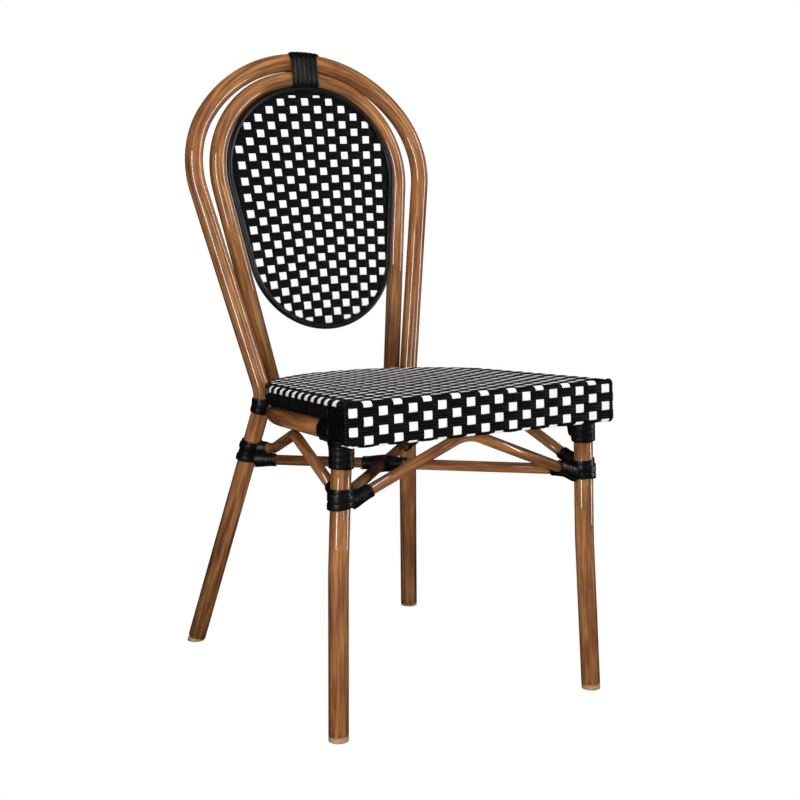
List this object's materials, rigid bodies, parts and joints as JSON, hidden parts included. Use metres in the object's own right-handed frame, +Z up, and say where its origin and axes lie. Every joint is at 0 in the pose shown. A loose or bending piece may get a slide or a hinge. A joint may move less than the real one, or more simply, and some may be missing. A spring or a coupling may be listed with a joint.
{
  "type": "cafe side chair",
  "caption": "Armless cafe side chair of bent round tube in a bamboo-look print, with a woven check seat, a hooped back with a woven oval panel, and arched leg braces.",
  "frame": {"origin": "on the floor, under the middle of the chair's bounding box", "axes": "+Z up, -Y towards the front of the seat, +X to the right as seen from the front"},
  "size_m": [0.4528, 0.579, 0.9479],
  "materials": {
    "bamboo_print": "brown bamboo print under clear lacquer",
    "bare_aluminium": "mill finish",
    "black_strip": "satin extruded strip",
    "check_weave": "black and white satin strip, woven",
    "foot_cap": "moulded satin"
  },
  "bodies": {
    "root": {"back_hoop_outer": "bamboo_print", "back_hoop_inner": "bamboo_print", "front_leg_left": "bamboo_print", "front_leg_right": "bamboo_print", "seat_rail": "bamboo_print", "seat_frame": "bare_aluminium", "front_rail": "bare_aluminium", "apron_bar": "bare_aluminium", "seat_weave": "check_weave", "back_panel_rim": "black_strip", "back_panel_weave": "check_weave", "front_arch": "bamboo_print", "side_arch_left": "bamboo_print", "side_arch_right": "bamboo_print", "stretcher_long": "bamboo_print", "stretcher_half_front": "bamboo_print", "stretcher_half_rear": "bamboo_print", "stretcher_wrap": "black_strip", "top_wrap": "black_strip", "rear_seat_wrap_left": "black_strip", "rear_seat_wrap_right": "black_strip", "front_leg_wrap_left": "black_strip", "front_leg_wrap_right": "black_strip", "lower_wrap_front_left": "black_strip", "lower_wrap_front_right": "black_strip", "lower_wrap_rear_left": "black_strip", "lower_wrap_rear_right": "black_strip", "cuff_front_arch_left": "black_strip", "cuff_front_arch_right": "black_strip", "cuff_side_arch_front_left": "black_strip", "cuff_side_arch_front_right": "black_strip", "cuff_side_arch_rear_left": "black_strip", "cuff_side_arch_rear_right": "black_strip", "cuff_stretcher_front_left": "black_strip", "cuff_stretcher_front_right": "black_strip", "cuff_stretcher_rear_left": "black_strip", "cuff_stretcher_rear_right": "black_strip", "foot_cap_front_left": "foot_cap", "foot_cap_front_right": "foot_cap", "foot_cap_rear_left": "foot_cap", "foot_cap_rear_right": "foot_cap"}
  },
  "joints": []
}
